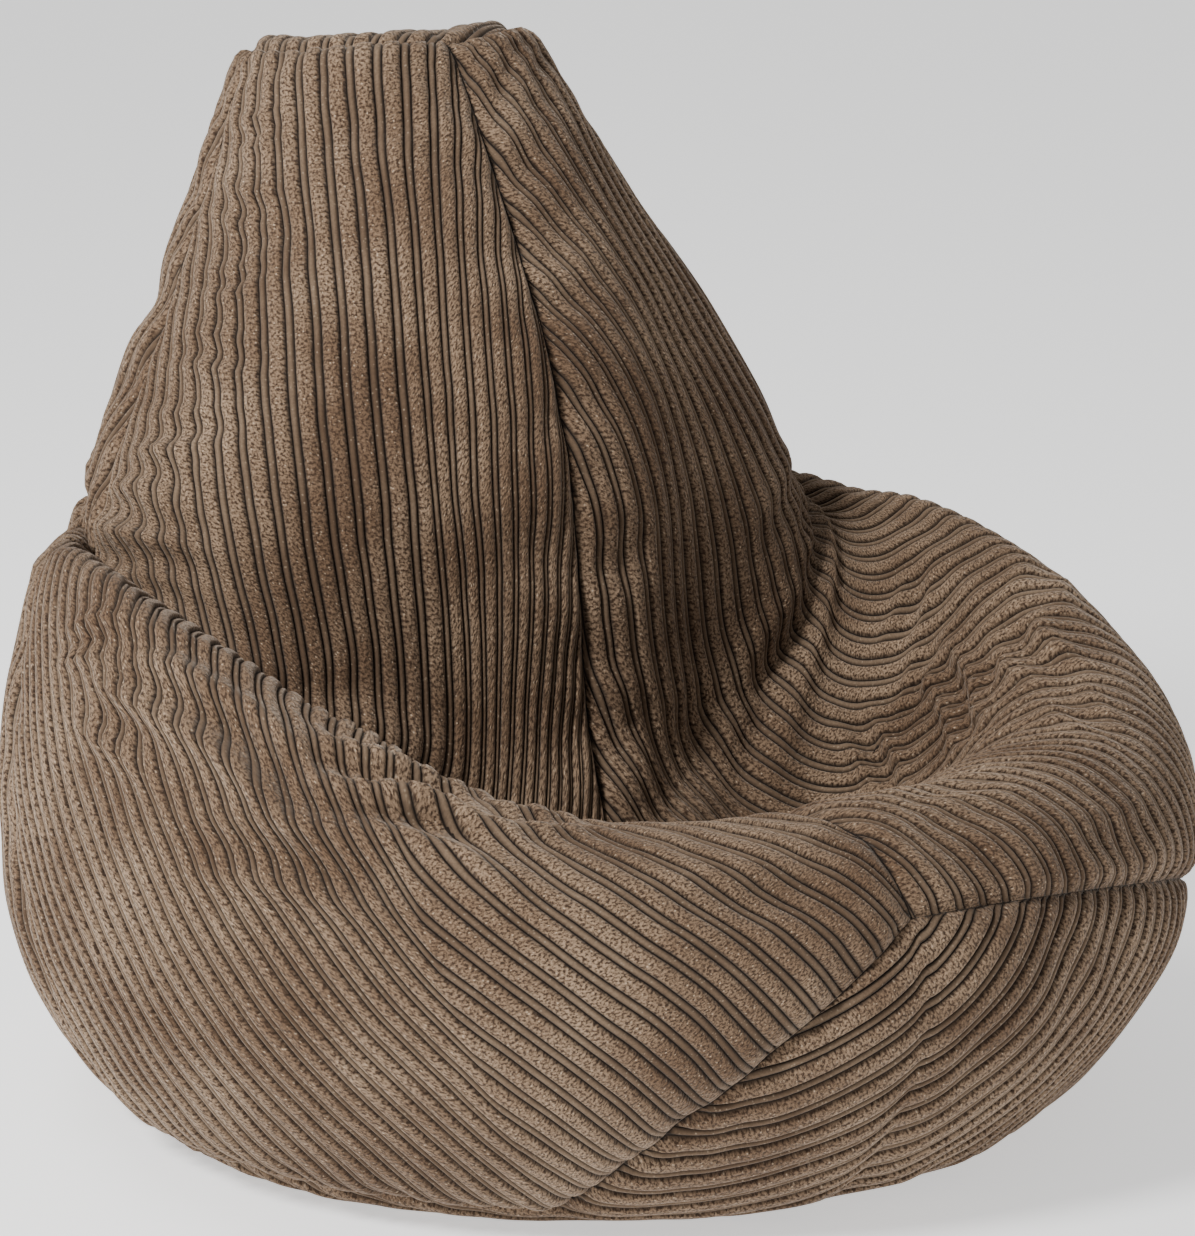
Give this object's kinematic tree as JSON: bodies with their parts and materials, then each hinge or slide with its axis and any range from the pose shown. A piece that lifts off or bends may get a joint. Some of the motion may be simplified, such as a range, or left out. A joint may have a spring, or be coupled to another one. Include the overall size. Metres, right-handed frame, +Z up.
{
  "type": "bean bag chair",
  "caption": "Pear-shaped high-back bean bag chair in wide-rib corduroy, with a pressed seat hollow, zipped base, inner liner and loose bead fill.",
  "frame": {"origin": "on the floor under the middle of the bounding box", "axes": "+Z up, seat hollow open towards -Y, high back towards +Y, +X to the right as seen from the front"},
  "size_m": [0.912, 0.92, 0.7951],
  "materials": {
    "corduroy": "brushed jumbo corduroy pile",
    "liner_cloth": "plain woven polyester",
    "foam_beads": "expanded polystyrene beads",
    "zip_tape": "woven polyester tape",
    "zip_coil": "nylon coil",
    "zip_metal": "antique plated zinc casting"
  },
  "bodies": {
    "bag": {"front_right_panel": "corduroy", "rear_right_panel": "corduroy", "rear_left_panel": "corduroy", "front_left_panel": "corduroy", "top_cap": "corduroy", "base_front": "corduroy", "base_rear": "corduroy", "cover_zip_tape_front": "zip_tape", "cover_zip_coil_front": "zip_coil", "cover_zip_tape_rear": "zip_tape", "cover_zip_coil_rear": "zip_coil", "cover_zip_stop_closed": "zip_metal", "cover_zip_stop_open": "zip_metal", "liner_zip_tape_front": "zip_tape", "liner_zip_coil_front": "zip_coil", "liner_zip_tape_rear": "zip_tape", "liner_zip_coil_rear": "zip_coil", "liner_zip_stop_closed": "zip_metal", "liner_zip_stop_open": "zip_metal", "liner_upper": "liner_cloth", "liner_lower": "liner_cloth", "bead_fill": "foam_beads"},
    "cover_slider": {"cover_zip_slider": "zip_metal"},
    "cover_pull": {"cover_zip_pull": "zip_metal"},
    "liner_slider": {"liner_zip_slider": "zip_metal"}
  },
  "joints": [
    {"name": "cover_zip_slide", "type": "slide", "parent": "bag", "child": "cover_slider", "axis": [1, 0, 0], "range_m": [-0.418, 0]},
    {"name": "cover_pull_swing", "type": "hinge", "parent": "cover_slider", "child": "cover_pull", "pos_m": [0.2091, 0, 0.0032], "axis": [0, 1, 0], "range_deg": [0, 180]},
    {"name": "liner_zip_slide", "type": "slide", "parent": "bag", "child": "liner_slider", "axis": [1, 0, 0], "range_m": [-0.278, 0]}
  ]
}
